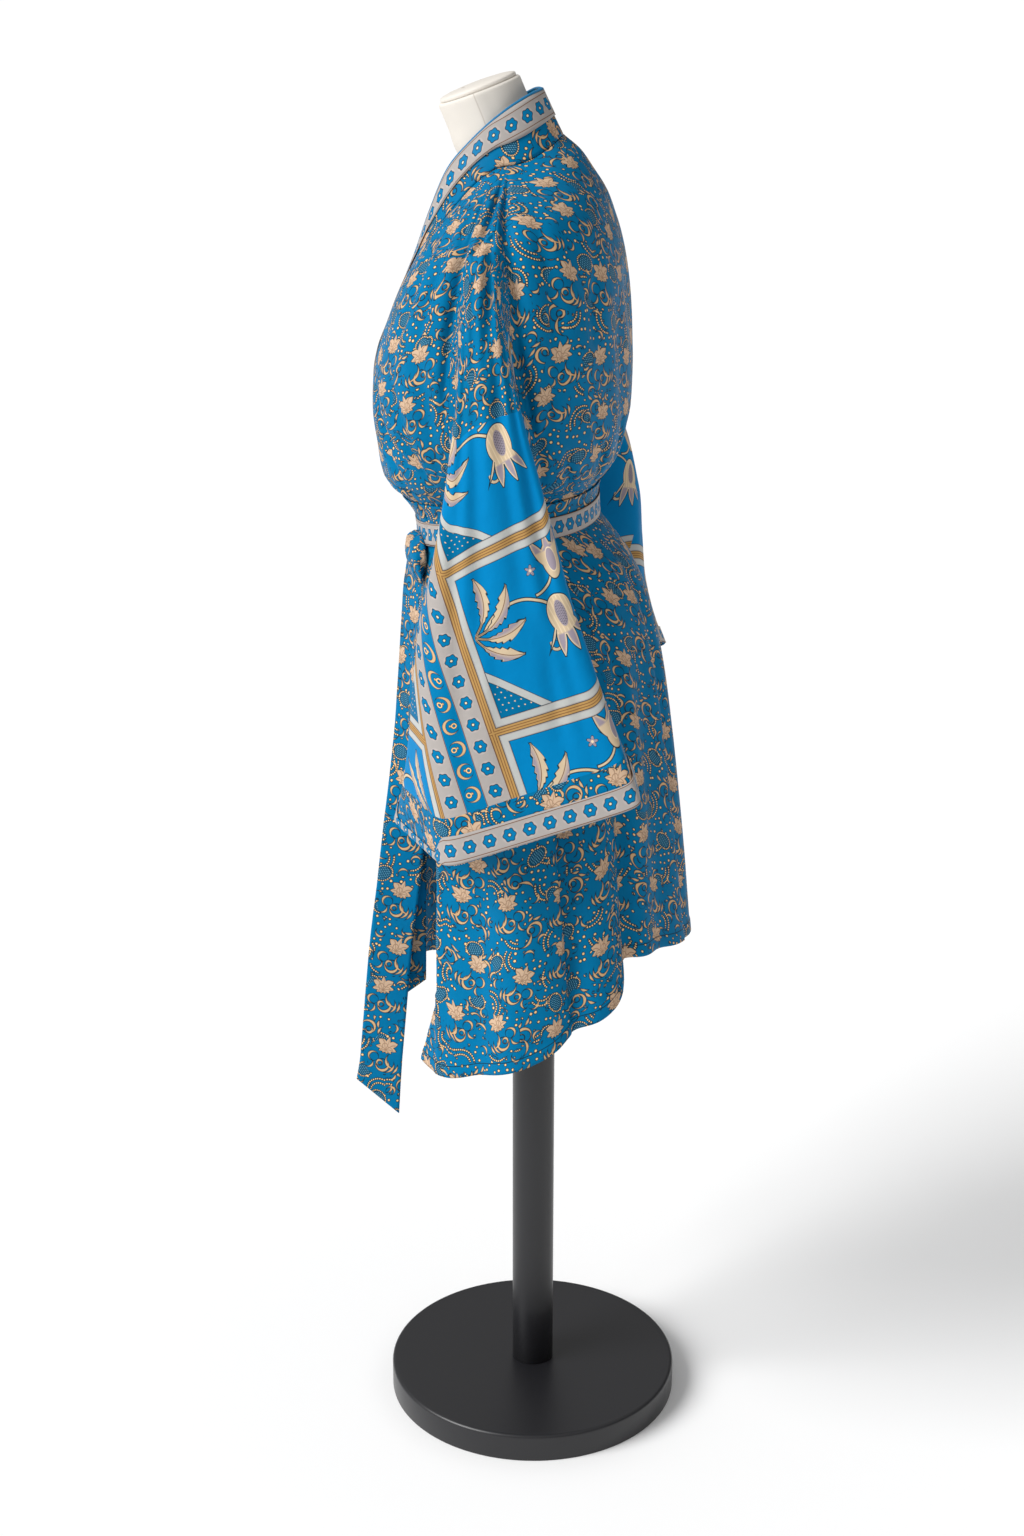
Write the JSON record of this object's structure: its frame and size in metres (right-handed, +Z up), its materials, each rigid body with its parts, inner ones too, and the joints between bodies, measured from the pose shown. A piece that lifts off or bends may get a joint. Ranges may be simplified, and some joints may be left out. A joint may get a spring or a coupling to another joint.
{
  "type": "kimono on a dress form",
  "caption": "Knee-length wrap kimono of printed satin with wide open sleeves, bordered neckband and knotted belt, worn by a limbless dress form on a round-based pole stand.",
  "frame": {"origin": "centre of the stand base's underside, on the floor", "axes": "+Z up along the pole, the garment's front faces -Y and its left sleeve is on +X"},
  "size_m": [0.5766, 0.3919, 1.5915],
  "materials": {
    "printed_satin": "soft satin, blue with a small scattered print",
    "border_satin": "soft satin, grey with a row of rosettes",
    "form_cover": "matt off-white jersey cover",
    "form_cap": "matt off-white",
    "stand_metal": "black satin paint"
  },
  "bodies": {
    "root": {"back": "printed_satin", "left_front": "printed_satin", "right_front": "printed_satin", "neckband": "printed_satin", "neckband_border": "border_satin", "left_sleeve": "printed_satin", "left_cuff_border": "border_satin", "right_sleeve": "printed_satin", "right_cuff_border": "border_satin", "belt_wrap": "printed_satin", "belt_border": "border_satin", "belt_knot": "printed_satin", "belt_tail_long": "printed_satin", "belt_tail_short": "printed_satin", "form": "form_cover", "neck_cap": "form_cap", "stand_pole": "stand_metal", "stand_base": "stand_metal"}
  },
  "joints": []
}
